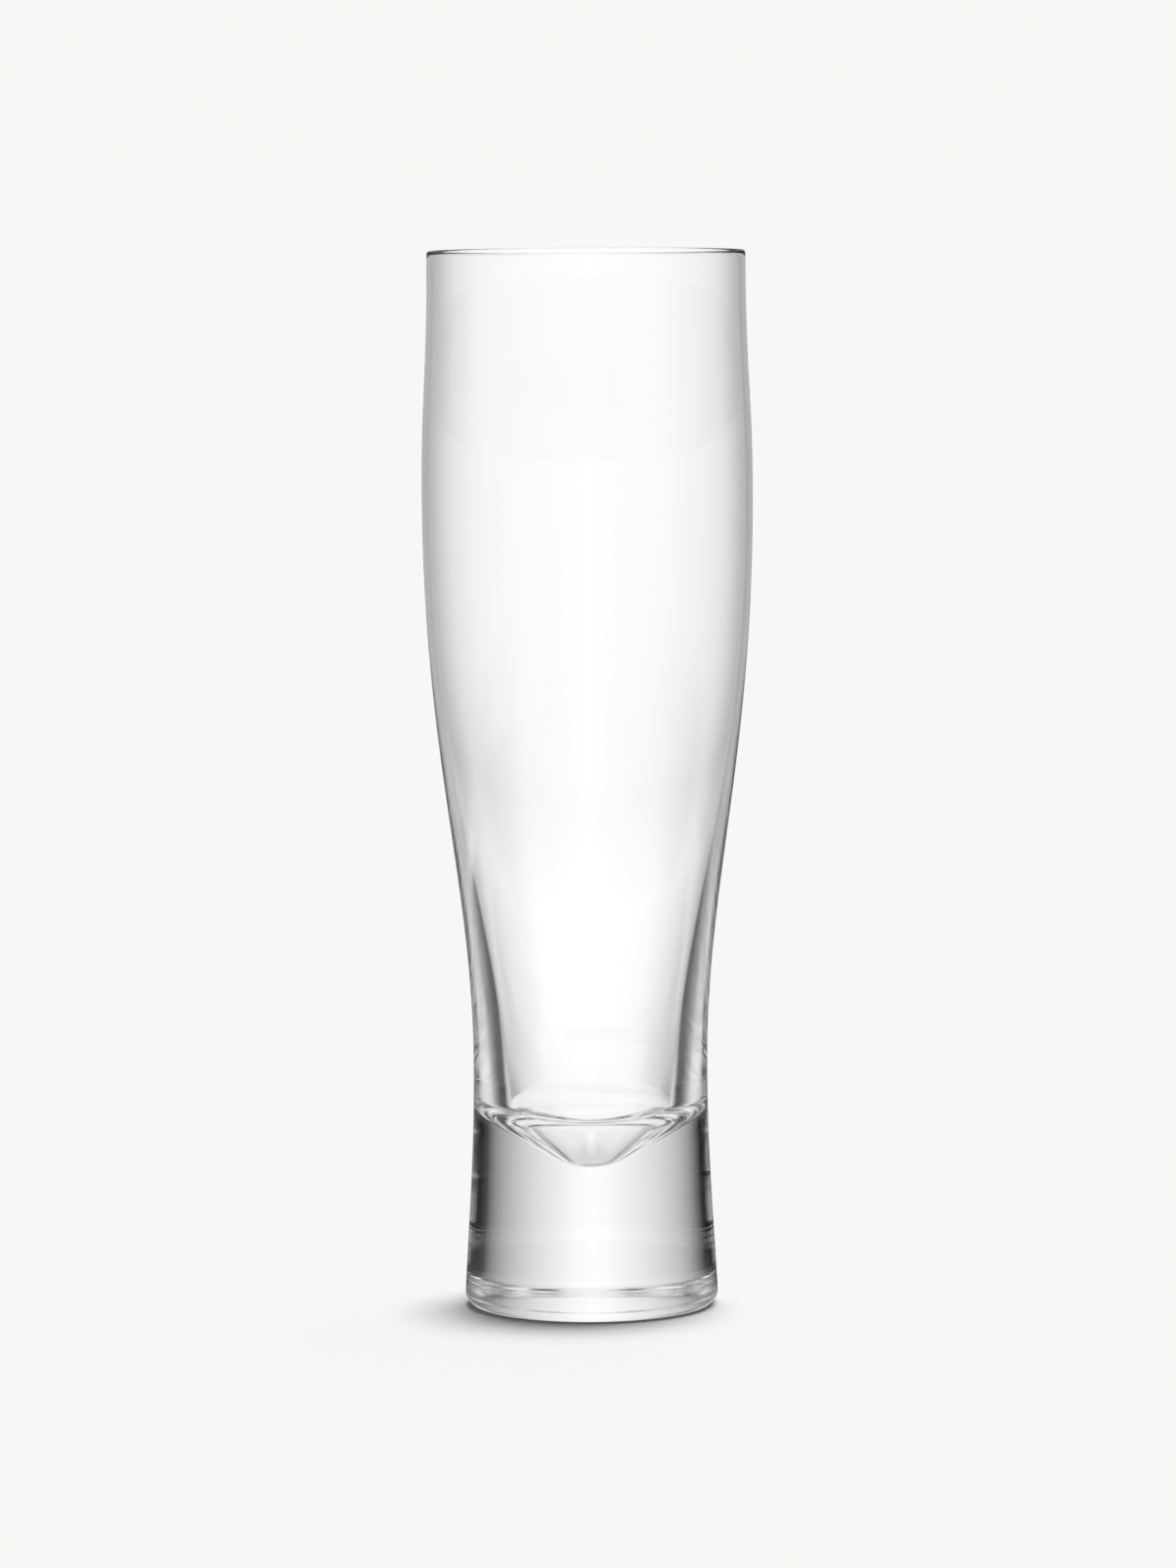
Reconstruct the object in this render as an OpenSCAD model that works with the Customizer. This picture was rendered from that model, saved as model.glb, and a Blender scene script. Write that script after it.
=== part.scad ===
// Weizen glass: a thin blown bowl joined hot to a solid, weighted base of the same clear glass.
// The glass stands on z = 0 with its axis along Z. Lengths are in millimetres and angles in degrees.

/* [Heights] */
// Table up to the waist, where the outside is narrowest
waist_h = 54; // [48:1:64]
// Waist up to the belly, where the outside is widest
taper_h = 128; // [100:1:150]
// Belly up to the top of the lip
collar_h = 53; // [35:1:70]
// Waist down to the lowest point of the cavity
well_depth = 22.5; // [18:0.5:26]
// Glass between the lowest point of the cavity and the seam
floor_t = 5.5; // [4:0.5:8]

/* [Diameters] */
// Outside diameter just under the lip
rim_d = 70.4; // [64:0.1:76]
// Outside diameter at the belly
belly_d = 73.3; // [66:0.1:80]
// Outside diameter at the waist
waist_d = 52.1; // [48:0.1:58]
// Widest outside diameter of the base
base_d = 56.4; // [54:0.1:66]

/* [Walls] */
// Wall at the lip, which is rounded over its whole thickness
lip_wall = 1.4; // [1:0.1:2.5]
// Wall at the belly
belly_wall = 1.4; // [1:0.1:3]
// Wall at the waist
waist_wall = 6.9; // [4:0.1:9]

/* [Edges and leans] */
// Radius of the base's lower edge
edge_r = 3; // [1.5:0.5:5]
// Inward lean of the base's side just above its lower edge
base_lean = 3; // [0:0.5:8]
// Outward lean of the cavity's side at the waist
cavity_lean = 6.5; // [0:0.5:10]
// Slope of the well's floor between its tip and its corner
well_slope = 38; // [30:1:44]
// Radius of the well's rounded tip
well_tip_r = 8.5; // [5:0.5:11]
// Radius of the rounded corner between the cavity's side and the well's floor
well_corner_r = 7; // [4:0.5:9]

/* [Fullness of the curves] */
// Straight run of the base's side at its lower and upper end, as shares of its height
base_run = [0.3, 0.4]; // [0.1:0.01:0.6]
// Straight run of the taper's outside at the waist and at the belly, as shares of its height
taper_run = [0.32, 0.47]; // [0.1:0.01:0.6]
// Straight run of the collar at the belly and at the lip, as shares of its height
collar_run = [0.4, 0.5]; // [0.1:0.01:0.6]
// Straight run of the cavity's side at the waist and at the belly, as shares of its height
cavity_run = [0.36, 0.49]; // [0.1:0.01:0.6]

/* [Hidden] */

// Chords along each curve, and steps round the axis
curve_steps = 24;
arc_steps = 8;
turn_steps = 96;
glass_tint = [0.93, 0.96, 0.96, 0.4];

// Heights of the stations above the table
belly_z = waist_h + taper_h;
top_z = belly_z + collar_h;
floor_z = waist_h - well_depth;
seam_z = floor_z - floor_t;

// The lip is a half round that joins the outside and the cavity
lip_r = lip_wall / 2;
lip_z = top_z - lip_r;

// Stations of the outside and of the cavity, each as [radius, height]
base_at = [base_d / 2 - edge_r * (1 - cos(base_lean)), edge_r * (1 + sin(base_lean))];
waist_at = [waist_d / 2, waist_h];
belly_at = [belly_d / 2, belly_z];
lip_at = [rim_d / 2, lip_z];
lip_in = lip_at - [lip_wall, 0];
belly_in = belly_at - [belly_wall, 0];
waist_in = waist_at - [waist_wall, 0];

// Directions up the cavity's side and out along the well's floor
side_way = [sin(cavity_lean), cos(cavity_lean)];
floor_way = [cos(well_slope), sin(well_slope)];

// Centres of the well's tip and of its corner, which lies one corner radius off both the side and the floor
tip_centre = [0, floor_z + well_tip_r];
floor_from = tip_centre + (well_tip_r - well_corner_r) * [sin(well_slope), -cos(well_slope)];
side_from = waist_in - well_corner_r * [cos(cavity_lean), -sin(cavity_lean)];
corner_along = cross(side_from - floor_from, side_way) / cross(floor_way, side_way);
corner_centre = floor_from + corner_along * floor_way;

// Point on a cubic curve, at a share of its run
function on_curve(a, b, c, d, t) =
    pow(1 - t, 3) * a + 3 * pow(1 - t, 2) * t * b + 3 * (1 - t) * t * t * c + pow(t, 3) * d;

// Curve from one point to the next, without its first point
function curve(a, b, c, d) = [for (i = [1:curve_steps]) on_curve(a, b, c, d, i / curve_steps)];

// Wall between two stations, which leaves each with its own outward lean and runs straight there for a share
function wall(from, from_lean, to, to_lean, run) =
    let (rise = to[1] - from[1])
    curve(from,
          from + run[0] * rise * [tan(from_lean), 1],
          to - run[1] * rise * [tan(to_lean), 1],
          to);

// Point at an angle on a circle about a centre
function on_arc(centre, radius, angle) = centre + radius * [cos(angle), sin(angle)];

// Arc about a centre, from one angle to another, without its first point
function arc(centre, radius, first, last) =
    [for (i = [1:arc_steps]) on_arc(centre, radius, first + (last - first) * i / arc_steps)];

// Outside of the glass, from the table to the lip
function outside() = concat(
    [[0, 0], [base_d / 2 - edge_r, 0]],
    arc([base_d / 2 - edge_r, edge_r], edge_r, -90, base_lean),
    wall(base_at, -base_lean, waist_at, 0, base_run),
    wall(waist_at, 0, belly_at, 0, taper_run),
    wall(belly_at, 0, lip_at, 0, collar_run));

// Cavity, from the lip down to the tip of the well
function cavity() = concat(
    arc(lip_at - [lip_r, 0], lip_r, 0, 180),
    wall(lip_in, 0, belly_in, 0, [collar_run[1], collar_run[0]]),
    wall(belly_in, 0, waist_in, cavity_lean, [cavity_run[1], cavity_run[0]]),
    [on_arc(corner_centre, well_corner_r, -cavity_lean)],
    arc(corner_centre, well_corner_r, -cavity_lean, well_slope - 90),
    [on_arc(tip_centre, well_tip_r, well_slope - 90)],
    arc(tip_centre, well_tip_r, well_slope - 90, -90));

// Whole glass turned about its axis, before it is parted at the seam
module turned_glass() {
    rotate_extrude($fn = turn_steps)
        polygon(concat(outside(), cavity()));
}

// Everything below the level seam
module below_seam() {
    cylinder(h = seam_z, r = max(base_d, belly_d), $fn = turn_steps);
}

// Blown vessel with its cavity, open at the lip and flat where it meets the base
module bowl() {
    color(glass_tint)
        difference() {
            turned_glass();
            below_seam();
        }
}

// Solid, flared stub under the seam, flat where the glass stands
module base() {
    color(glass_tint)
        intersection() {
            turned_glass();
            below_seam();
        }
}

bowl();
base();
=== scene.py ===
# %% [markdown]
# # A weizen glass in a bright studio
#
# The object is a tall, clear beer glass: a thin blown bowl that thickens downwards and is joined hot to a
# solid base. Clear glass has no colour of its own. Everything the eye reads as glass is the room, bent and
# mirrored by its walls. So three things carry this scene: true wall thickness, an honest glass material,
# and a well planned studio. The frame packed from the construction is loaded first.

# %% Load the imported frame
import math

import bpy
import numpy as np
from mathutils import Matrix, Vector


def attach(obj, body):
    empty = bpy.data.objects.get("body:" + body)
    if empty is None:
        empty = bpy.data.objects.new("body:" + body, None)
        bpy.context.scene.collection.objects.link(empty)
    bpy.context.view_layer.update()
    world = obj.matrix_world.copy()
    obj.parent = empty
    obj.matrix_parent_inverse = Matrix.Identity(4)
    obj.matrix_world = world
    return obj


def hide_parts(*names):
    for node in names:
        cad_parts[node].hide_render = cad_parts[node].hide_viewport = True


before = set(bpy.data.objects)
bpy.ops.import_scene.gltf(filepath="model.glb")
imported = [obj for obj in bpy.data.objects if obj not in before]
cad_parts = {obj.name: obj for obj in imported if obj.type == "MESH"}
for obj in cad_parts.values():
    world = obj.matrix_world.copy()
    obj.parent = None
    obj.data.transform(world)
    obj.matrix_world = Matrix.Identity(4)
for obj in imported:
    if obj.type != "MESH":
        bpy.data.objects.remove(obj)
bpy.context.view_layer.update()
print("CAD nodes:", sorted(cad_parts))

# %% [markdown]
# ## Sizes
#
# The construction turns its walls in chords that are fine enough for physics, but refraction shows every
# chord as a stripe. The pieces could be smoothed with a modifier, which would round the lip and the lower
# edge as well. Turning them again from the same sizes, in finer steps, keeps every radius true, so the
# sizes are repeated here in millimetres.

# %% Sizes of the glass
MM = 0.001
WAIST_H = 54.0
TAPER_H = 128.0
COLLAR_H = 53.0
WELL_DEPTH = 22.5
FLOOR_T = 5.5
RIM_D = 70.4
BELLY_D = 73.3
WAIST_D = 52.1
BASE_D = 56.4
LIP_WALL = 1.4
BELLY_WALL = 1.4
WAIST_WALL = 6.9
EDGE_R = 3.0
WELL_TIP_R = 8.5
WELL_CORNER_R = 7.0
BASE_LEAN = math.radians(3.0)
CAVITY_LEAN = math.radians(6.5)
WELL_SLOPE = math.radians(38.0)

belly_z = WAIST_H + TAPER_H
top_z = belly_z + COLLAR_H
floor_z = WAIST_H - WELL_DEPTH
seam_z = floor_z - FLOOR_T
print(f"height {top_z:g} mm, tip of the well at {floor_z:g} mm, seam at {seam_z:g} mm")

# %% [markdown]
# ## Curves of the section
#
# A blown glass is a body of revolution, so half of its section says everything. A designer draws a few
# stations (foot, waist, belly, lip) and lets smooth curves join them. Each wall here is a cubic curve
# that leaves a station with its own lean and runs straight there for a share of its height. Corners are
# arcs, and flat stretches are straight lines.

# %% Wall, arc and straight line
CURVE_STEPS = 64
ARC_STEPS = 24
LINE_STEPS = 12


def wall(start, start_lean, end, end_lean, run):
    """Points of a wall between stations, without the first. Leans go outward, runs are shares of rise."""
    rise = end[1] - start[1]
    out = start + run[0] * rise * np.array([math.tan(start_lean), 1])
    back = end - run[1] * rise * np.array([math.tan(end_lean), 1])
    t = np.linspace(0, 1, CURVE_STEPS + 1)[1:, None]
    return (1 - t) ** 3 * start + 3 * (1 - t) ** 2 * t * out + 3 * (1 - t) * t ** 2 * back + t ** 3 * end


def arc(centre, radius, first, last):
    """Points of an arc between two angles, without the first."""
    angles = np.linspace(first, last, ARC_STEPS + 1)[1:, None]
    return centre + radius * np.hstack([np.cos(angles), np.sin(angles)])


def line(start, end):
    """Points of a straight line, without the first."""
    t = np.linspace(0, 1, LINE_STEPS + 1)[1:, None]
    return start + t * (end - start)


print(f"curves: {CURVE_STEPS} steps to a wall, {ARC_STEPS} to an arc, {LINE_STEPS} to a straight line")

# %% [markdown]
# ## The outside
#
# The foot is ground flat and its edge is rounded by 3 mm. Above it the base leans in to the waist, the
# taper swells to the belly, and the collar closes a little towards the lip. The lip is melted round in a
# flame, so it is a half circle.

# %% Outside, from the table to the lip
BASE_RUN = (0.3, 0.4)
TAPER_RUN = (0.32, 0.47)
COLLAR_RUN = (0.4, 0.5)

lip_r = LIP_WALL / 2
edge_centre = np.array([BASE_D / 2 - EDGE_R, EDGE_R])
waist_at = np.array([WAIST_D / 2, WAIST_H])
belly_at = np.array([BELLY_D / 2, belly_z])
lip_at = np.array([RIM_D / 2, top_z - lip_r])

underside = np.array([[0.0, 0.0], [edge_centre[0], 0.0]])
lower_edge = arc(edge_centre, EDGE_R, -math.pi / 2, BASE_LEAN)
base_side = wall(lower_edge[-1], -BASE_LEAN, waist_at, 0, BASE_RUN)
taper = wall(waist_at, 0, belly_at, 0, TAPER_RUN)
collar = wall(belly_at, 0, lip_at, 0, COLLAR_RUN)
lip = arc(lip_at - [lip_r, 0], lip_r, 0, math.pi)
print(f"outside: {len(underside) + len(lower_edge) + len(base_side) + len(taper) + len(collar)} points")

# %% [markdown]
# ## The cavity
#
# Inside, the wall thickens from 1.4 mm at the belly to 6.9 mm at the waist, because hot glass runs down
# while the bowl is blown. The cavity ends in a well: a rounded corner, a sloping floor and a rounded tip.
# The corner's centre lies one corner radius off both the side and the floor, so it is found where the two
# lines, each moved by that radius, cross. The tip's last point is set right on the axis, where the section
# has to end.

# %% Cavity, from the lip to the tip of the well
CAVITY_RUN = (0.36, 0.49)

lip_in = lip_at - [LIP_WALL, 0]
belly_in = belly_at - [BELLY_WALL, 0]
waist_in = waist_at - [WAIST_WALL, 0]
off_side = np.array([math.cos(CAVITY_LEAN), -math.sin(CAVITY_LEAN)])
off_floor = np.array([math.sin(WELL_SLOPE), -math.cos(WELL_SLOPE)])
tip_centre = np.array([0.0, floor_z + WELL_TIP_R])

offsets = [waist_in @ off_side - WELL_CORNER_R, tip_centre @ off_floor + WELL_TIP_R - WELL_CORNER_R]
corner_centre = np.linalg.solve([off_side, off_floor], offsets)
collar_in = wall(lip_in, 0, belly_in, 0, COLLAR_RUN[::-1])
cavity_side = wall(belly_in, 0, waist_in, CAVITY_LEAN, CAVITY_RUN[::-1])
corner = arc(corner_centre, WELL_CORNER_R, -CAVITY_LEAN, WELL_SLOPE - math.pi / 2)
tip = arc(tip_centre, WELL_TIP_R, WELL_SLOPE - math.pi / 2, -math.pi / 2)
tip[-1, 0] = 0
side_end = line(waist_in, corner_centre + WELL_CORNER_R * off_side)
floor_line = line(corner[-1], tip_centre + WELL_TIP_R * off_floor)
well = np.vstack([side_end, corner, floor_line, tip])
print(f"well: {2 * well[0, 0]:.1f} mm wide at the waist, tip {well[-1, 1]:.1f} mm above the table")

# %% [markdown]
# ## The hot seam
#
# Bowl and base are two pieces that are pressed together while they are soft, and the joint is clear: the
# eye can't find it. Two faces in the very same place would make the renderer guess which comes first, so
# the bowl's face is lifted by a hundredth of a millimetre. Its material, further down, lets light pass as
# if there were no surface.

# %% Part the section at the seam
SEAM_GAP = 0.01

seam_edge = np.array([[np.interp(seam_z, base_side[:, 1], base_side[:, 0]), seam_z]])
seam_centre = np.array([[0.0, seam_z]])
lift = np.array([[0.0, SEAM_GAP]])
side_below = base_side[base_side[:, 1] < seam_z]
side_above = base_side[base_side[:, 1] > seam_z + SEAM_GAP]
base_section = np.vstack([underside, lower_edge, side_below, seam_edge, seam_centre])
bowl_outside = np.vstack([seam_centre + lift, seam_edge + lift, side_above, taper, collar])
bowl_section = np.vstack([bowl_outside, lip, collar_in, cavity_side, well])
print(f"section points: base {len(base_section)}, bowl {len(bowl_section)}")

# %% [markdown]
# ## A helper for shader nodes
#
# Every material is a small graph. One function adds a node, sets its own properties and plain values, and
# links what has to be linked, so that a graph reads from top to bottom like a recipe. Colours are written
# as they look on screen and turned into the linear light that the renderer adds up.

# %% Node helper, colours and empty materials


def add(tree, kind, links=None, values=None, **settings):
    """Adds a node: settings are its own properties, values its plain inputs, links its wired inputs."""
    node = tree.nodes.new(kind)
    for name, value in settings.items():
        setattr(node, name, value)
    for socket, value in (values or {}).items():
        node.inputs[socket].default_value = value
    for socket, source in (links or {}).items():
        tree.links.new(source, node.inputs[socket])
    return node


def linear(hex_colour):
    """Linear red, green, blue and alpha of an sRGB hex colour."""
    parts = [int(hex_colour[i:i + 2], 16) / 255 for i in (1, 3, 5)]
    return [p / 12.92 if p <= 0.04045 else ((p + 0.055) / 1.055) ** 2.4 for p in parts] + [1.0]


def new_material(name):
    """An empty node material and its graph."""
    material = bpy.data.materials.new(name)
    material.use_nodes = True
    material.node_tree.nodes.clear()
    return material, material.node_tree


print(f"a mid grey of #808080 is {linear('#808080')[0]:.2f} in linear light")

# %% [markdown]
# ## Fire-polished glass
#
# The walls are soda-lime glass whose skin was melted smooth, so roughness is zero and every edge of the
# studio stays sharp in it. Its index of refraction, 1.52, makes the solid base a strong lens and gives
# the thin bowl its faint double lines. A Glass shader would do, but the Principled shader with full
# transmission also carries over to other programs.

# %% Clear soda-lime glass
GLASS_IOR = 1.52
CLEAR = linear("#FFFFFF")
SMOOTH = 0.0


def soda_lime_glass(name, roughness):
    """Clear glass whose skin has this roughness."""
    material, tree = new_material(name)
    body = add(tree, "ShaderNodeBsdfPrincipled", values={
        "Base Color": CLEAR,
        "Roughness": roughness,
        "IOR": GLASS_IOR,
        "Transmission Weight": 1.0,
    })
    add(tree, "ShaderNodeOutputMaterial", {"Surface": body.outputs[0]})
    return material


glass = soda_lime_glass("fire_polished_soda_lime_glass", SMOOTH)
print(f"{glass.name}: index {GLASS_IOR}, roughness {SMOOTH}")

# %% [markdown]
# ## Ground underside
#
# The foot is ground on a wheel so that the glass stands still, then polished, which leaves a satin skin
# up to about a millimetre above the table. It is the same glass with a little roughness. The eye sees it
# mostly from inside, where it blurs the many mirror images along the lower edge into one quiet band.

# %% Ground and polished foot
GROUND_H = 1.2
GROUND_ROUGHNESS = 0.12

ground = soda_lime_glass("ground_and_polished_foot", GROUND_ROUGHNESS)
print(f"{ground.name}: roughness {GROUND_ROUGHNESS} below {GROUND_H} mm")

# %% [markdown]
# ## Fused seam
#
# Glass against the same glass neither bends nor mirrors light. The two faces of the seam are there so
# that each piece is a closed solid, and a Transparent shader takes them out of the light's way.

# %% Clear joint
seam, tree = new_material("fused_seam")
clear = add(tree, "ShaderNodeBsdfTransparent", values={"Color": CLEAR})
add(tree, "ShaderNodeOutputMaterial", {"Surface": clear.outputs[0]})
print(f"{seam.name}: unseen joint of bowl and base")

# %% [markdown]
# ## Where each finish lies
#
# A finish goes on by height. A band of the section that lies level in the seam is fused, one that ends
# below the ground height is ground, and all others are fire-polished.

# %% Finish of a band
FINISHES = (glass, seam, ground)


def finish_of(ends, seam_at):
    """Number of the finish that the band between two points of a section has."""
    heights = [end[1] for end in ends]
    if all(math.isclose(height, seam_at) for height in heights):
        return FINISHES.index(seam)
    return FINISHES.index(ground if max(heights) < GROUND_H else glass)


print("finishes:", [finish.name for finish in FINISHES])

# %% [markdown]
# ## Turning the pieces
#
# Blender's Spin or Screw tool could turn the section, but both leave doubled points on the axis that have
# to be merged. Building rings of points directly gives a closed mesh at once: a ring is one point on the
# axis and many elsewhere. Smooth shading hides the steps, except where the seam meets the wall at a right
# angle, which has to stay sharp.

# %% Turn a section into a closed mesh
TURN_STEPS = 192
SHARP_ANGLE = math.radians(40)


def turn(name, section, seam_at):
    """Turns a section, in millimetres from axis to axis, into a closed mesh object."""
    angles = np.arange(TURN_STEPS) * 2 * math.pi / TURN_STEPS
    circle = np.stack([np.cos(angles), np.sin(angles)], 1)
    points, rings, faces, finishes = [], [], [], []
    for radius, height in section * MM:
        count = 1 if radius == 0 else TURN_STEPS
        rings.append([len(points) + i % count for i in range(TURN_STEPS + 1)])
        points += [(radius * x, radius * y, height) for x, y in circle[:count]]
    for low, high, ends in zip(rings, rings[1:], zip(section, section[1:])):
        corners = zip(low, low[1:], high[1:], high)
        faces += [tuple(dict.fromkeys(four)) for four in corners]
        finishes += [finish_of(ends, seam_at)] * TURN_STEPS
    mesh = bpy.data.meshes.new(name)
    mesh.from_pydata(points, [], faces)
    for finish in FINISHES:
        mesh.materials.append(finish)
    mesh.polygons.foreach_set("material_index", finishes)
    mesh.polygons.foreach_set("use_smooth", [True] * len(faces))
    mesh.set_sharp_from_angle(angle=SHARP_ANGLE)
    piece = bpy.data.objects.new(name, mesh)
    bpy.context.scene.collection.objects.link(piece)
    print(f"{name}: {len(points)} points, {len(faces)} faces")
    return piece


# %% [markdown]
# ## Bowl and base
#
# Each turned piece takes the place of its node in the frame and rides on the only body there is (nothing
# on a drinking glass moves).

# %% Two pieces of one glass
base = turn("solid_base", base_section, seam_z)
bowl = turn("blown_bowl", bowl_section, seam_z + SEAM_GAP)
for piece, node in ((bowl, "bowl"), (base, "base")):
    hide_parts(node)
    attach(piece, "root")

# %% [markdown]
# ## Camera
#
# The photograph was taken with a long lens a little above the lip: the rim is nearly a line, while the
# foot is seen from above. Lens, distance and pitch were found by matching the widths and the ellipses of
# lip, waist and foot. The last third of a degree is a roll of the camera, since the glass in the
# photograph leans by that much.

# %% Camera of the photograph
IMAGE_H = 1600
FOCAL_PX = 7067.0
CAMERA_DISTANCE = 1.540
CAMERA_PITCH = math.radians(5.4)
CAMERA_ROLL = math.radians(-0.33)
CAMERA_REACH = 100.0
AIM = Vector((-0.2, 0, 116.65)) * MM

camera_data = bpy.data.cameras.new("camera")
camera_data.lens = FOCAL_PX / IMAGE_H * camera_data.sensor_width
camera_data.clip_end = CAMERA_REACH
camera = bpy.data.objects.new("camera", camera_data)
bpy.context.scene.collection.objects.link(camera)
towards_camera = Vector((0, -math.cos(CAMERA_PITCH), math.sin(CAMERA_PITCH)))
turned = towards_camera.to_track_quat("Z", "Y").to_matrix().to_4x4() @ Matrix.Rotation(CAMERA_ROLL, 4, "Z")
camera.matrix_world = Matrix.Translation(AIM + towards_camera * CAMERA_DISTANCE) @ turned
bpy.context.scene.camera = camera
print(f"camera: {camera_data.lens:.0f} mm lens, {CAMERA_DISTANCE} m away")

# %% [markdown]
# ## Panels round the glass
#
# A glass photographer works with bright panels and black cards. A panel behind the glass fills it with
# light, and the dark gaps beside the panel become the dark lines along its edges. Panels are written here
# as pairs: an angle away from the panel's middle, in degrees to the right, and the light there, where 1
# is paper white. Where both sides are the same, only the right half is written. The back panel fades to
# both sides. Softboxes to the left and front right do its work when the glass is looked at from
# elsewhere, and high up the back panel reaches further round to the left for the same reason.

# %% Panels
DARK = 0.01
BACK_HALF = ((0, 1.02), (11, 0.93), (20, 0.78), (30, 0.55), (36, 0.37), (45, 0.2), (52, 0.06), (62, DARK))
BACK_MIDDLE = ((-60, DARK), (-52, 0.15), (-44, 0.35), (-35, 0.54), (-25, 0.7), (-15, 0.86), (-5, 1.0),
               (0, 1.03), (5, 0.98), (15, 0.81), (25, 0.62), (35, 0.43), (44, 0.25), (52, 0.05),
               (60, DARK))
BACK_HIGH_HALF = ((0, 1.02), (11, 0.93), (20, 0.78), (29, 0.42), (37, 0.2), (44, 0.06), (53, 0.05),
                  (57, 0.4), (63, 0.75), (70, 0.5), (78, DARK))
BACK_WIDE_LEFT = ((-82, DARK), (-72, 0.3), (-62, 0.75), (-52, 0.95), (-45, 1.0), (-15, 0.98))
SOFTBOX_HALF = ((0, 1.0), (13, 0.7), (21, 0.2), (27, DARK))
LEFT = -103
FRONT_RIGHT = 135


def both_sides(half):
    """Tones of a right half, with the same tones to the left of it."""
    return tuple((-angle, tone) for angle, tone in half[::-1] if angle > 0) + half


def softbox(middle):
    """Tones of a softbox whose middle lies so many degrees to the right of straight behind the glass."""
    return tuple((middle + angle, tone) for angle, tone in both_sides(SOFTBOX_HALF))


print(f"back panel: {2 * BACK_HALF[-1][0]} degrees wide, softboxes: {2 * SOFTBOX_HALF[-1][0]} degrees")

# %% [markdown]
# Panels at one height make a ring round the glass. Five more rings are for special places: paper in front
# of the glass, paper on the table and low behind it, what the outside mirrors, a white ceiling, and a
# soft top for the base.

# %% Rings of panels
LOW_RING = softbox(LEFT) + both_sides(BACK_HALF)
MIDDLE_RING = softbox(LEFT) + BACK_MIDDLE + softbox(FRONT_RIGHT)
HIGH_RING = both_sides(BACK_HIGH_HALF) + softbox(FRONT_RIGHT)
UPPER_RING = BACK_WIDE_LEFT + BACK_HALF + softbox(FRONT_RIGHT)
FRONT_RING = both_sides(((85, 0.0), (112, 0.8), (128, 1.0)))
PAPER_RING = both_sides(((0, 1.0), (5, 0.86), (15, 0.6), (25, 0.46), (35, 0.44), (44, 0.49), (52, 0.62),
                         (60, 0.77), (84, 0.92), (105, 1.0)))
OUTER_RING = ((-125, 0.97), (-112, 0.85), (-95, 0.6), (-70, 0.3), (-50, 0.02), (-20, 0.02), (0, 0.3),
              (20, 0.02), (50, 0.02), (70, 0.45), (95, 0.8), (112, 0.92), (125, 0.97))
CEILING_RING = ((0, 0.94),)
SOFT_RING = ((-132, 0.95), (-122, 0.1), (-75, 0.05), (-25, 0.3), (0, 0.95), (25, 0.35), (75, 0.1),
             (106, 0.1), (114, 0.95))
print(f"rings of panels: {[len(ring) for ring in (LOW_RING, MIDDLE_RING, HIGH_RING, UPPER_RING)]} tones")

# %% [markdown]
# ## Which rays come from the glass
#
# The panels could be modelled as glowing planes, but planes also light the table and cast shadows. The
# world can hold them instead, if rays that leave the glass are told from others: they are glossy or
# transmission rays that met no matt surface before. Those that never crossed a surface only bounced off
# the outside. Those that crossed two, in and out, stayed within one body of glass: the solid base, or the
# thick wall above it. Surfaces are counted in whole numbers, so the limits lie halfway between.

# %% Masks for rays
NO_SURFACE = 0.5
TWO_SURFACES = 2.5


def glass_rays(tree):
    """Masks of rays from the glass, of those never inside it, and of those in one body of it."""
    path = add(tree, "ShaderNodeLightPath")
    glossy, through = path.outputs["Is Glossy Ray"], path.outputs["Is Transmission Ray"]
    matt_met, crossed = path.outputs["Diffuse Depth"], path.outputs["Transmission Depth"]
    bent = add(tree, "ShaderNodeMath", {0: glossy, 1: through}, operation="MAXIMUM")
    direct = add(tree, "ShaderNodeMath", {0: matt_met}, {1: NO_SURFACE}, operation="LESS_THAN")
    both = {0: bent.outputs[0], 1: direct.outputs[0]}
    from_glass = add(tree, "ShaderNodeMath", both, operation="MULTIPLY")
    outside = add(tree, "ShaderNodeMath", {0: crossed}, {1: NO_SURFACE}, operation="LESS_THAN")
    within = add(tree, "ShaderNodeMath", {0: crossed}, {1: TWO_SURFACES}, operation="LESS_THAN")
    return from_glass.outputs[0], outside.outputs[0], within.outputs[0]


print(f"rays within one body cross fewer than {TWO_SURFACES} surfaces")

# %% [markdown]
# ## Light by direction
#
# A radial gradient reads a ray's direction as a compass angle, and a colour ramp turns that into light.
# The compass starts and ends at the left and runs against the clock, so both ends of the ramp get the
# tone of that place. Rings that lie above each other are mixed by the height of the ray, which is the
# sine of the angle by which it rises.

# %% Rings of light, and stacks of rings
COMPASS_START = -90
FULL_TURN = 360


def tone_ring(tree, compass, tones):
    """Light round the horizon."""
    ring = add(tree, "ShaderNodeValToRGB", {"Fac": compass})
    stops = ring.color_ramp.elements
    angles, levels = zip(*tones)
    at_start = float(np.interp(COMPASS_START, angles, levels, period=FULL_TURN))
    for stop in stops:
        stop.color = (at_start, at_start, at_start, 1)
    for angle, level in tones:
        if angle != COMPASS_START:
            stops.new((COMPASS_START - angle) / FULL_TURN % 1).color = (level, level, level, 1)
    return ring.outputs["Color"]


def sine(degrees):
    """Sine of an angle in degrees."""
    return math.sin(math.radians(degrees))


def stack(tree, compass, height, lowest, rings):
    """Rings above each other. Each begins at its first height in degrees and is full at its second."""
    tone = tone_ring(tree, compass, lowest)
    for tones, low, high in rings:
        limits = {"From Min": sine(low), "From Max": sine(high)}
        share = add(tree, "ShaderNodeMapRange", {"Value": height}, limits).outputs[0]
        ring = tone_ring(tree, compass, tones)
        mixed = add(tree, "ShaderNodeMix", {"Factor": share, "A": tone, "B": ring}, data_type="RGBA")
        tone = mixed.outputs["Result"]
    return tone


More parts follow.
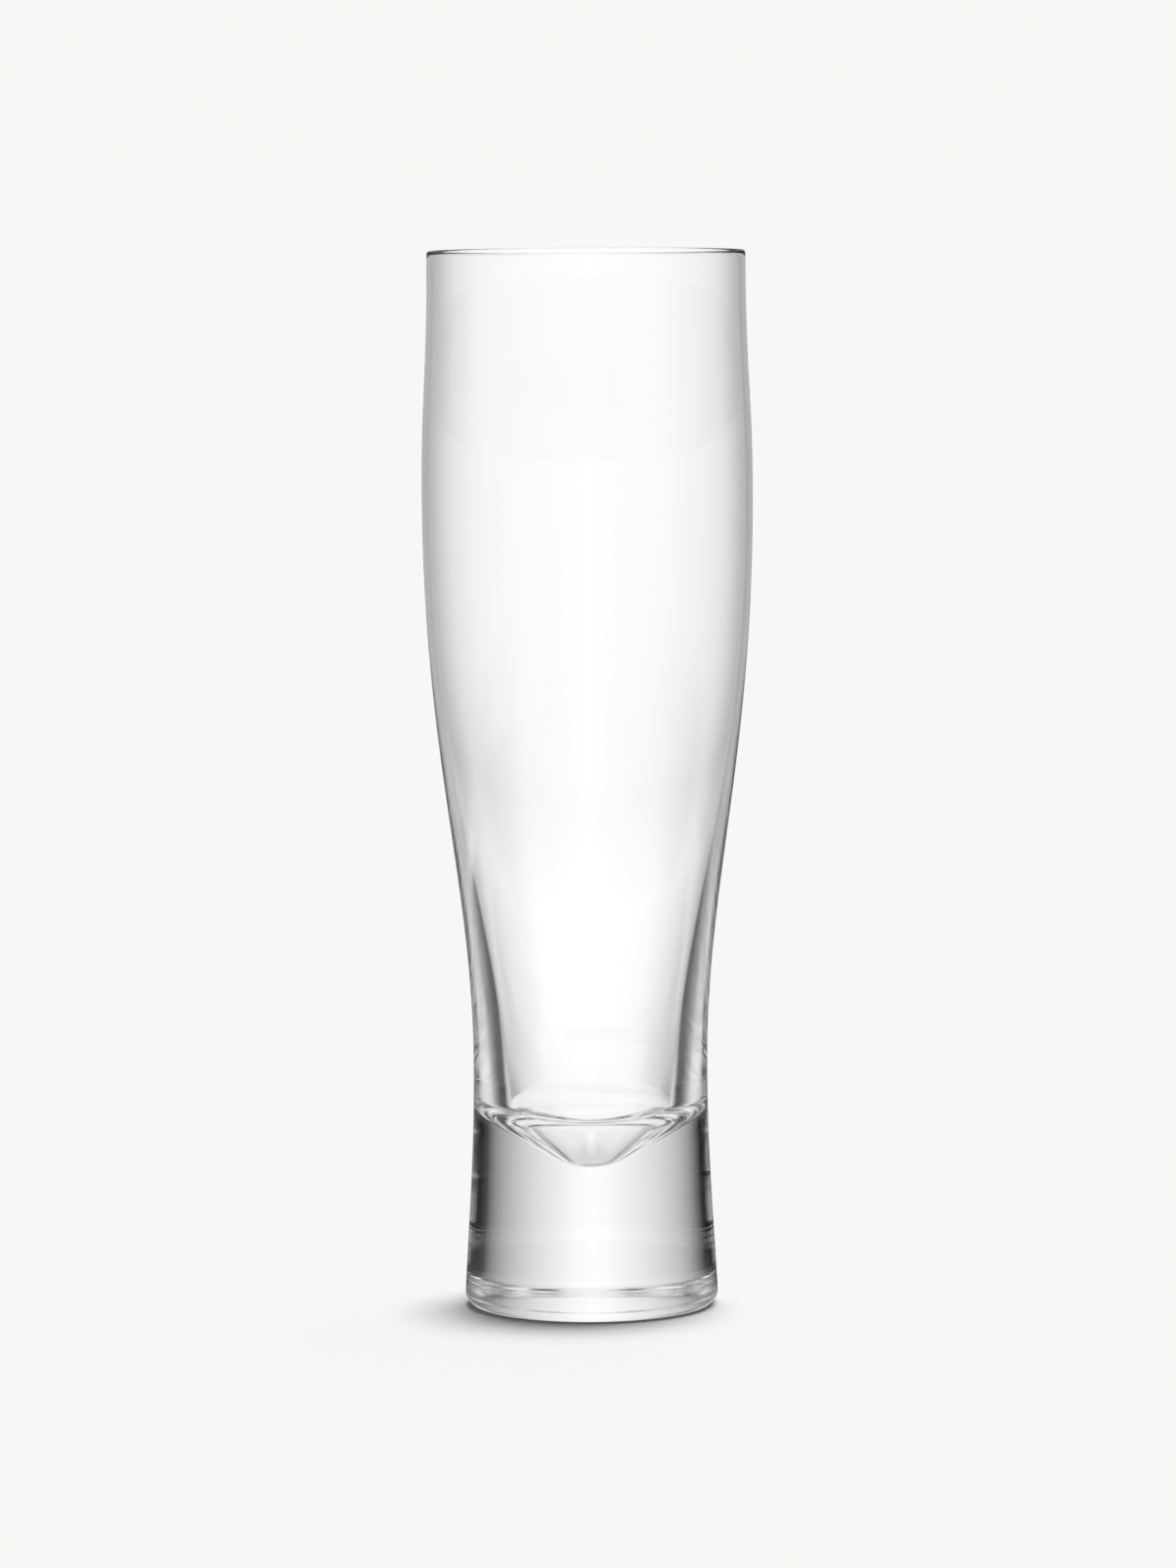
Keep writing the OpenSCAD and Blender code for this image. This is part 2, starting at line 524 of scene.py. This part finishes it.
print(f"a ray that rises by 30 degrees has a height of {sine(30):.2f}")

# %% [markdown]
# ## The studio
#
# The rings of panels lie above each other, in two stacks. Rays that crossed the bowl look almost level
# across the room, or up from the well: they see paper low down, the back panel above it and a white
# ceiling. Rays that stayed within one body come out of the base at about 15 degrees and of the thick
# waist at 20 to 25: they see the back panel, the same panel with harder edges, and a soft top.

# %% Two stacks of rings
BOWL_RINGS = (
    (LOW_RING, 2.5, 4.5),
    (MIDDLE_RING, 10, 12),
    (HIGH_RING, 18, 20.5),
    (UPPER_RING, 25.6, 26.2),
    (CEILING_RING, 46, 52),
)
BASE_RINGS = (
    (HIGH_RING, 18, 20.5),
    (SOFT_RING, 31, 35),
    (CEILING_RING, 57, 62),
)

world = bpy.data.worlds.new("studio")
bpy.context.scene.world = world
world.use_nodes = True
tree = world.node_tree
tree.nodes.clear()
from_glass, outside, within = glass_rays(tree)
direction = add(tree, "ShaderNodeTexCoord").outputs["Generated"]
gradient = add(tree, "ShaderNodeTexGradient", {"Vector": direction}, gradient_type="RADIAL")
compass = gradient.outputs["Fac"]
height = add(tree, "ShaderNodeSeparateXYZ", {"Vector": direction}).outputs["Z"]
in_bowl = stack(tree, compass, height, PAPER_RING, BOWL_RINGS)
in_base = stack(tree, compass, height, MIDDLE_RING, BASE_RINGS)
inside = add(tree, "ShaderNodeMix", {"Factor": within, "A": in_bowl, "B": in_base}, data_type="RGBA")
print(f"studio: {len(BOWL_RINGS) + 1} rings of light for the bowl, {len(BASE_RINGS) + 1} for the base")

# %% [markdown]
# White paper stands in front for what the bowl mirrors. Rays within one body see half as much of it, and
# only close to the horizon, because reflections inside the base would draw lines across it. For each of
# the two, three values say at what height in degrees the paper begins to fade, where it is gone, and how
# much of it is seen. Rays that only bounced off the outside get a ring of their own: white paper behind
# the camera and black cards at the sides, which draw the outline.

# %% Paper in front, and what the outside mirrors
BOWL_PAPER = (13, 16, 1.0)
BASE_PAPER = (2.5, 4.5, 0.5)

shares = []
for low, high, most in (BOWL_PAPER, BASE_PAPER):
    limits = {"From Min": sine(low), "From Max": sine(high), "To Min": most, "To Max": 0.0}
    shares.append(add(tree, "ShaderNodeMapRange", {"Value": height}, limits).outputs[0])
share = add(tree, "ShaderNodeMix", {"Factor": within, "A": shares[0], "B": shares[1]}).outputs["Result"]
in_front = tone_ring(tree, compass, FRONT_RING)
links = {"Factor": share, "A": inside.outputs["Result"], "B": in_front}
papered = add(tree, "ShaderNodeMix", links, data_type="RGBA", blend_type="LIGHTEN")
off_outside = tone_ring(tree, compass, OUTER_RING)
links = {"Factor": outside, "A": papered.outputs["Result"], "B": off_outside}
tone = add(tree, "ShaderNodeMix", links, data_type="RGBA").outputs["Result"]
print(f"paper in front: gone at {BOWL_PAPER[1]} degrees for the bowl, {BASE_PAPER[1]} for the base")

# %% [markdown]
# Now each kind of ray gets its light. Those from the glass see the panels, the camera a plain pale
# backdrop, and everything else a dim, even room that fills the shadow.

# %% Light for glass, camera and room
BACKDROP = linear("#F8F7F5")
ROOM_LIGHT = 0.12

in_glass = add(tree, "ShaderNodeBackground", {"Color": tone})
dim = add(tree, "ShaderNodeBackground", values={"Color": CLEAR, "Strength": ROOM_LIGHT})
pale = add(tree, "ShaderNodeBackground", values={"Color": BACKDROP})
lit = add(tree, "ShaderNodeMixShader", {0: from_glass, 1: dim.outputs[0], 2: in_glass.outputs[0]})
by_camera = add(tree, "ShaderNodeLightPath").outputs["Is Camera Ray"]
seen = add(tree, "ShaderNodeMixShader", {0: by_camera, 1: lit.outputs[0], 2: pale.outputs[0]})
add(tree, "ShaderNodeOutputWorld", {"Surface": seen.outputs[0]})
print(f"world: {len(tree.nodes)} nodes, room light {ROOM_LIGHT}")

# %% [markdown]
# ## The table
#
# The table is white acrylic. To the eye it is a matt sheet that takes the shadow. To rays that come down
# out of the glass it is nearly all they meet, so what it shows them decides how the lower half looks.
# That depends on the compass, on the distance from the glass, and on how steeply a ray comes down. Layer
# Weight tells the last: at an even blend, its Facing output is 1 less the sine of that angle.

# %% Table, by compass, distance and slant
EVEN_BLEND = 0.5

# To rays from the glass the table shows a real mirror and, zone by zone, painted light that glows though
# the table is no lamp.
table, tree = new_material("white_acrylic_table")
from_glass, outside, within = glass_rays(tree)
spot = add(tree, "ShaderNodeTexCoord").outputs["Object"]
gradient = add(tree, "ShaderNodeTexGradient", {"Vector": spot}, gradient_type="RADIAL")
compass = gradient.outputs["Fac"]
distance = add(tree, "ShaderNodeVectorMath", {0: spot}, operation="LENGTH").outputs["Value"]
slant = add(tree, "ShaderNodeLayerWeight", values={"Blend": EVEN_BLEND}).outputs["Facing"]


def steeper(angles):
    """Mask of rays that come down steeply: none at the first angle in degrees, all at the second."""
    limits = {"From Min": 1 - sine(angles[0]), "From Max": 1 - sine(angles[1])}
    return add(tree, "ShaderNodeMapRange", {"Value": slant}, limits).outputs[0]


def zone(mask, reach):
    """A mask in one zone of the table: none of it at the first distance in metres, all at the second."""
    limits = {"From Min": reach[0], "From Max": reach[1]}
    share = add(tree, "ShaderNodeMapRange", {"Value": distance}, limits).outputs[0]
    return add(tree, "ShaderNodeMath", {0: mask, 1: share}, operation="MULTIPLY").outputs[0]


print(f"{table.name}: {len(tree.nodes)} nodes to tell where and how a ray comes down")

# %% [markdown]
# Near the glass the polished skin mirrors the panels. Far off, the table glows with painted light in tones
# round the compass that stand for white paper. Rays within one body see half of it, and more of this
# painted paper lies in front of the glass. Further out, steep rays see a painted image of the upper panels
# glowing on the table instead of a mirror image. Straight under the well the table glows with painted
# light. Each zone has the distances in metres where it begins and where it is full, and some have a slant
# in degrees as well.

# %% Zones of the table
FAR_REACH = (0.45, 0.75)
FAR_WITHIN = 0.5
FRONT_REACH = (0.11, 0.14)
FRONT_PAINTED_PAPER = both_sides(((112, 0.0), (128, 1.0)))
STEEP = (18, 20)
STEEP_REACH = (0.27, 0.30)
STEEPER = (24.4, 25)
STEEPER_REACH = (0.127, 0.135)
BENEATH = (26, 28)
BENEATH_REACH = (0.050, 0.045)

less_within = {1: FAR_WITHIN - 1, 2: 1.0}
all_or_half = add(tree, "ShaderNodeMath", {0: within}, less_within, operation="MULTIPLY_ADD")
far = zone(all_or_half.outputs[0], FAR_REACH)
front = zone(tone_ring(tree, compass, FRONT_PAINTED_PAPER), FRONT_REACH)
zones = {0: zone(steeper(STEEP), STEEP_REACH), 1: zone(steeper(STEEPER), STEEPER_REACH)}
steep = add(tree, "ShaderNodeMath", zones, operation="MAXIMUM").outputs[0]
beneath = zone(steeper(BENEATH), BENEATH_REACH)
print(f"zones: glow to {BENEATH_REACH[0] / MM:.0f} mm, paper from {FRONT_REACH[0] / MM:.0f} mm in front")

# %% [markdown]
# Under the well the table glows, though it is no lamp: painted light that stands in for light let through
# the solid base. Round the compass the painted glow is stronger in front and at the sides. Outwards it has
# three steps: a bright spot under the tip of the well, a dimmer ring of painted shade under the edge of
# the foot, and nearly full light beyond it. Each step has two distances in metres, the light at each of
# them, and how it joins the steps before.

# %% Painted glow under the well
PAINTED_GLOW_RING = both_sides(((40, 0.66), (60, 0.83), (100, 0.87), (130, 0.93)))
PAINTED_GLOW_STEPS = (
    ((0.001, 0.007), (0.95, 0.6), "MAXIMUM"),
    ((0.022, 0.027), (1.0, 0.65), "MULTIPLY"),
    ((0.034, 0.038), (0.0, 0.95), "MAXIMUM"),
)

glow = tone_ring(tree, compass, PAINTED_GLOW_RING)
for reach, light, operation in PAINTED_GLOW_STEPS:
    limits = {"From Min": reach[0], "From Max": reach[1], "To Min": light[0], "To Max": light[1]}
    level = add(tree, "ShaderNodeMapRange", {"Value": distance}, limits).outputs[0]
    glow = add(tree, "ShaderNodeMath", {0: glow, 1: level}, operation=operation).outputs[0]
print(f"glow: {len(PAINTED_GLOW_STEPS)} steps")

# %% [markdown]
# The zones are laid over each other like sheets: mirror, painted paper far off, painted panels for steep
# rays, painted paper in front, the painted glow under the well, and a painted reflection for rays that
# only bounced off the outside. Last of all, any other ray gets the plain matt sheet.

# %% Sheets of the table
matt = add(tree, "ShaderNodeBsdfDiffuse", values={"Color": BACKDROP})
mirror = add(tree, "ShaderNodeBsdfGlossy", values={"Color": CLEAR, "Roughness": SMOOTH})
# Painted light: for rays from the glass the table glows in tones that stand for paper, panels, light let
# through the base and what the outside mirrors.
paper = add(tree, "ShaderNodeEmission", {"Color": tone_ring(tree, compass, PAPER_RING)})
painted_panels = add(tree, "ShaderNodeEmission", {"Color": tone_ring(tree, compass, UPPER_RING)})
painted_glow_sheet = add(tree, "ShaderNodeEmission", {"Strength": glow}, {"Color": CLEAR})
painted_reflection = add(tree, "ShaderNodeEmission", {"Color": tone_ring(tree, compass, OUTER_RING)})
sheets = ((far, paper), (steep, painted_panels), (front, paper), (beneath, painted_glow_sheet), (outside, painted_reflection))
shown = mirror.outputs[0]
for mask, sheet in sheets:
    shown = add(tree, "ShaderNodeMixShader", {0: mask, 1: shown, 2: sheet.outputs[0]}).outputs[0]
whole = add(tree, "ShaderNodeMixShader", {0: from_glass, 1: matt.outputs[0], 2: shown})
add(tree, "ShaderNodeOutputMaterial", {"Surface": whole.outputs[0]})
print(f"table: {len(sheets) + 1} sheets, {len(tree.nodes)} nodes")

# %% [markdown]
# The table itself is a wide disc, so that no view looks past its edge. It lies a twentieth of a millimetre
# under the foot, since two faces in the same place would make the renderer guess which comes first.

# %% Lay the table
FLOOR_R = 30.0
FLOOR_STEPS = 128
FLOOR_GAP = 0.05 * MM

place = (0, 0, -FLOOR_GAP)
bpy.ops.mesh.primitive_circle_add(vertices=FLOOR_STEPS, radius=FLOOR_R, fill_type="NGON", location=place)
floor = bpy.context.object
floor.name = "floor"
floor.data.materials.append(table)
print(f"floor: {2 * FLOOR_R:g} m across")

# %% [markdown]
# ## The key light
#
# The photograph's shadow is soft, dark where the foot touches the table and gone after some 20 mm,
# longest to the front and left. So one broad lamp hangs above, behind and a little to the right. A wide
# Sun gives the table the same light everywhere. Its strength and the dim room together add up to white.
# The clear bowl casts no shadow worth seeing in the photograph, only the base does, because light can't
# cross a solid stub of glass unbent.

# %% Lamp
KEY_LEAN = math.radians(25)
KEY_FROM = math.radians(25)
KEY_WIDTH = math.radians(50)

key_data = bpy.data.lights.new("key", "SUN")
key_data.angle = KEY_WIDTH
key_data.energy = math.pi * (1 - ROOM_LIGHT) / math.cos(KEY_LEAN)
key = bpy.data.objects.new("key", key_data)
bpy.context.scene.collection.objects.link(key)
level = math.sin(KEY_LEAN)
towards_key = Vector((level * math.sin(KEY_FROM), level * math.cos(KEY_FROM), math.cos(KEY_LEAN)))
key.rotation_euler = towards_key.to_track_quat("Z", "Y").to_euler()
key.visible_glossy = False
key.visible_transmission = False
bowl.visible_shadow = False
print(f"key: {key_data.energy:.2f} W/m2 from {math.degrees(KEY_LEAN):.0f} degrees off the vertical")

# %% [markdown]
# ## Colour and bounces
#
# The Standard view shows paper white as white. Light runs round many times inside the base before it
# comes out, so the usual limit on bounces would turn its lower edge black. A high limit lets these rays
# find their way.

# %% View and bounces
BOUNCES = 200

scene = bpy.context.scene
scene.view_settings.view_transform = "Standard"
scene.cycles.max_bounces = BOUNCES
scene.cycles.glossy_bounces = BOUNCES
scene.cycles.transmission_bounces = BOUNCES
print(f"bounces: {BOUNCES}")
